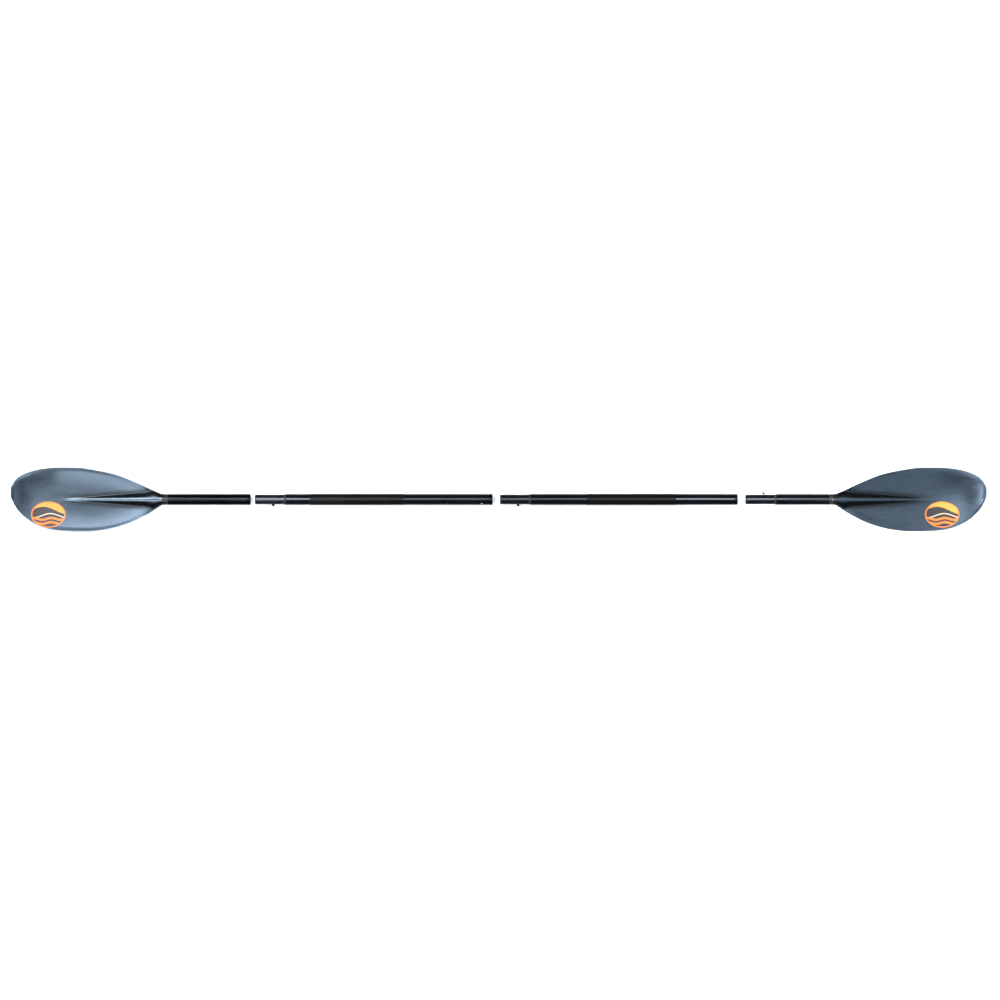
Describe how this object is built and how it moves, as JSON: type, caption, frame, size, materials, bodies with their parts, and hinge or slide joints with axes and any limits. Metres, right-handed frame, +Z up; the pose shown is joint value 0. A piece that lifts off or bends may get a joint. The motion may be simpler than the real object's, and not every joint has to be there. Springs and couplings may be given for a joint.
{
  "type": "kayak paddle",
  "caption": "Take-apart double-bladed kayak paddle with aluminium shaft, push-button joints, adjustable feather and moulded asymmetric blades, laid out with its joints open.",
  "frame": {"origin": "on the ground under the middle of the laid-out paddle, straight below the shaft's axis", "axes": "+X along the shaft from the left blade to the right blade, +Z up out of the blade faces, +Y towards the blades' fuller edge"},
  "size_m": [2.5858, 0.17, 0.0322],
  "materials": {
    "blade_plastic": "satin, glass-filled",
    "black_plastic": "satin",
    "black_tube": "black anodised",
    "spigot_tube": "black anodised, rubbed",
    "grip_sleeve": "matt shrink sleeve",
    "foam_bung": "foam",
    "ring_rubber": "matt",
    "spring_steel": "plain",
    "button_steel": "polished",
    "decal": "printed film"
  },
  "bodies": {
    "left_shaft": {"left_shaft_tube": "black_tube", "left_grip": "grip_sleeve", "left_shaft_stopper": "foam_bung", "left_spigot": "spigot_tube", "left_spigot_cap": "black_plastic", "left_shoulder_ring": "ring_rubber", "left_clip_base": "spring_steel"},
    "left_blade_piece": {"left_blade": "blade_plastic", "left_neck_ring": "black_plastic", "left_blade_tube": "black_tube", "left_tube_stopper": "foam_bung", "left_decal": "decal"},
    "left_push_button": {"left_button": "button_steel", "left_clip_arm": "spring_steel"},
    "centre_ring": {"centre_shoulder_ring": "ring_rubber"},
    "right_shaft": {"right_shaft_tube": "black_tube", "right_grip": "grip_sleeve", "right_shaft_stopper": "foam_bung", "centre_spigot": "spigot_tube", "centre_spigot_cap": "black_plastic", "centre_clip_base": "spring_steel"},
    "centre_push_button": {"centre_button": "button_steel", "centre_clip_arm": "spring_steel"},
    "right_blade_piece": {"right_blade": "blade_plastic", "right_neck_ring": "black_plastic", "right_blade_tube": "black_tube", "right_decal": "decal", "right_spigot": "spigot_tube", "right_spigot_cap": "black_plastic", "right_shoulder_ring": "ring_rubber", "right_clip_base": "spring_steel"},
    "right_push_button": {"right_button": "button_steel", "right_clip_arm": "spring_steel"}
  },
  "joints": [
    {"name": "left_joint_slide", "type": "slide", "parent": "left_shaft", "child": "left_blade_piece", "axis": [1, 0, 0], "range_m": [0, 0.0887], "deforming": ["left_clip_arm", "left_button"]},
    {"name": "centre_joint_slide", "type": "slide", "parent": "left_shaft", "child": "centre_ring", "axis": [-1, 0, 0], "range_m": [0, 0.0966], "deforming": ["centre_clip_arm", "centre_button"]},
    {"name": "centre_feather", "type": "hinge", "parent": "centre_ring", "child": "right_shaft", "pos_m": [0.08, 0, 0.0147], "axis": [1, 0, 0], "range_deg": [-60, 60]},
    {"name": "right_joint_slide", "type": "slide", "parent": "right_shaft", "child": "right_blade_piece", "axis": [-1, 0, 0], "range_m": [0, 0.0974], "deforming": ["right_clip_arm", "right_button"]},
    {"name": "left_button_press", "type": "slide", "parent": "left_shaft", "child": "left_push_button", "axis": [0, 0.891, 0.454], "range_m": [0, 0.0075], "stiffness_N_per_m": 600},
    {"name": "centre_button_press", "type": "slide", "parent": "right_shaft", "child": "centre_push_button", "axis": [0, 0.891, 0.454], "range_m": [0, 0.0075], "stiffness_N_per_m": 600},
    {"name": "right_button_press", "type": "slide", "parent": "right_blade_piece", "child": "right_push_button", "axis": [0, -1, 0], "range_m": [0, 0.0075], "stiffness_N_per_m": 600}
  ]
}
